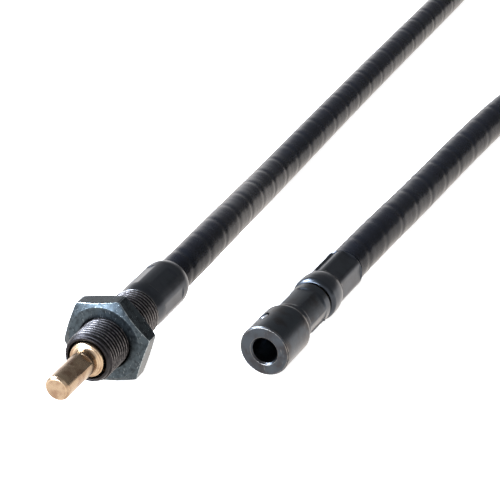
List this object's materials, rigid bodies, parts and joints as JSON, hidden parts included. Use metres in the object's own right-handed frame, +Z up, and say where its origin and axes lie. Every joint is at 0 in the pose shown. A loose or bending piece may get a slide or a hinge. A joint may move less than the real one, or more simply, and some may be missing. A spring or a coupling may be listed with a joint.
{
  "type": "flexible rotary control shaft",
  "caption": "Flexible rotary shaft: a wound core in a ribbed casing joins a spindle in a threaded panel bushing to a bored coupler with a set screw.",
  "frame": {"origin": "on the surface the part lies on, under the centre of the box round the two end fittings, without the cable", "axes": "+Z up; +Y along the coupler's axis, from its open face towards the cable; +X to the right of that, with the panel end on the -X side"},
  "size_m": [0.11, 0.4469, 0.0206],
  "materials": {
    "brass": "machined, lightly tarnished",
    "dark_steel": "blackened, satin",
    "black_steel": "black oxide, satin",
    "nut_steel": "blued zinc, worn at the edges",
    "bright_steel": "plain, bright",
    "bronze": "sintered bronze, oiled",
    "sheath": "ribbed, semi-matte",
    "wound_steel": "wound wire, oiled"
  },
  "bodies": {
    "housing": {"spindle_front_washer": "bronze", "spindle_front_bearing": "bronze", "spindle_rear_bearing": "bronze", "spindle_rear_washer": "bronze", "panel_bushing": "dark_steel", "panel_ferrule": "black_steel", "casing_panel_run": "sheath", "casing_bend": "sheath", "casing_coupler_run": "sheath", "casing_liner": "wound_steel", "drive_core": "wound_steel", "coupler_thrust_washer": "bronze", "coupler_bearing": "bronze", "coupler_ferrule": "black_steel"},
    "spindle": {"panel_spindle": "brass", "spindle_retaining_ring": "bright_steel", "core_socket": "bright_steel"},
    "nut": {"panel_nut": "nut_steel"},
    "coupler": {"coupler_hub": "dark_steel"},
    "set_screw": {"coupler_set_screw": "bright_steel"}
  },
  "joints": [
    {"name": "spindle_turn", "type": "hinge", "parent": "housing", "child": "spindle", "pos_m": [-0.01554, -0.03889, 0.0103], "axis": [-0.0476, 0.9989, 0], "continuous": true},
    {"name": "coupler_turn", "type": "hinge", "parent": "housing", "child": "coupler", "pos_m": [0.02244, -0.00779, 0.00635], "axis": [0, -1, 0], "continuous": true},
    {"name": "nut_travel", "type": "slide", "parent": "housing", "child": "nut", "axis": [-0.0476, 0.9989, 0], "range_m": [-0.0085, 0.0115]},
    {"name": "set_screw_travel", "type": "slide", "parent": "coupler", "child": "set_screw", "axis": [-0.4384, 0, 0.8988], "range_m": [0, 0.003]}
  ],
  "couplings": [
    {"joint": "coupler_turn", "follows": "spindle_turn", "ratio": 1}
  ]
}
